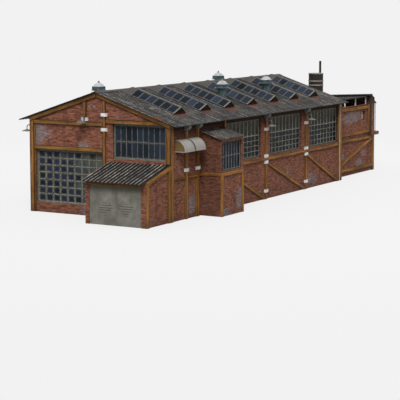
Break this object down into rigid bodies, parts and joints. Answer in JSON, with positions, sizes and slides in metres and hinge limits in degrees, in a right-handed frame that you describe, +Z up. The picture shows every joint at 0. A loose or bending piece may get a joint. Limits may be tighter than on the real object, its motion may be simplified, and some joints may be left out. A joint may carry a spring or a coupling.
{
  "type": "brick and timber-framed warehouse",
  "caption": "Brick warehouse with exposed timber framing, a corrugated skylit gable roof, a lean-to, a bay and a two-storey annex with a raised cover, stack and balcony.",
  "frame": {"origin": "middle of the building's box at ground level", "axes": "+X along the hall from the front gable to the annex, +Y from the bay side to the far side, +Z up"},
  "size_m": [33.5509, 11.9422, 8.22],
  "materials": {
    "brick": "weathered red brick",
    "timber": "oiled brown timber, streaked",
    "window_steel": "dull grey paint",
    "glass": "dirty dark glass",
    "roof_sheet": "weathered grey sheet with rust",
    "vent_metal": "galvanised grey",
    "render": "worn grey render",
    "roof_felt": "dark roofing felt",
    "white_steel": "worn white paint",
    "dark_iron": "sooted dark iron",
    "awning_sheet": "faded cream paint",
    "lamp_metal": "dull grey enamel",
    "grey_steel": "dull grey paint"
  },
  "bodies": {
    "root": {"front_gable_wall": "brick", "rear_gable_wall": "brick", "near_lower_wall": "brick", "near_upper_wall": "brick", "far_lower_wall": "brick", "far_upper_wall": "brick", "lean_to_walls": "brick", "bay_walls": "brick", "annex_side_walls": "brick", "annex_end_wall": "brick", "annex_floor": "brick", "wall_plates": "timber", "gable_posts": "timber", "gable_ties": "timber", "gable_rafters": "timber", "side_posts": "timber", "side_rails": "timber", "side_braces": "timber", "purlins": "timber", "skylight_frames": "timber", "lean_to_frame": "timber", "bay_frame": "timber", "balcony_door": "timber", "window_frames": "window_steel", "window_glass": "glass", "skylight_glass": "glass", "eaves_sheets": "roof_sheet", "upper_sheets": "roof_sheet", "ridge_cap": "roof_sheet", "skylight_hips": "roof_sheet", "lean_to_roof": "roof_sheet", "bay_roof": "roof_sheet", "annex_cover": "roof_sheet", "balcony_canopy": "roof_sheet", "ventilators": "vent_metal", "lean_to_panel": "render", "annex_roof_deck": "roof_felt", "slim_posts": "white_steel", "stack_hoops": "white_steel", "band_clamps": "white_steel", "stack": "dark_iron", "mast": "dark_iron", "awnings": "awning_sheet", "wall_lamps": "lamp_metal", "eaves_brackets": "grey_steel"}
  },
  "joints": []
}
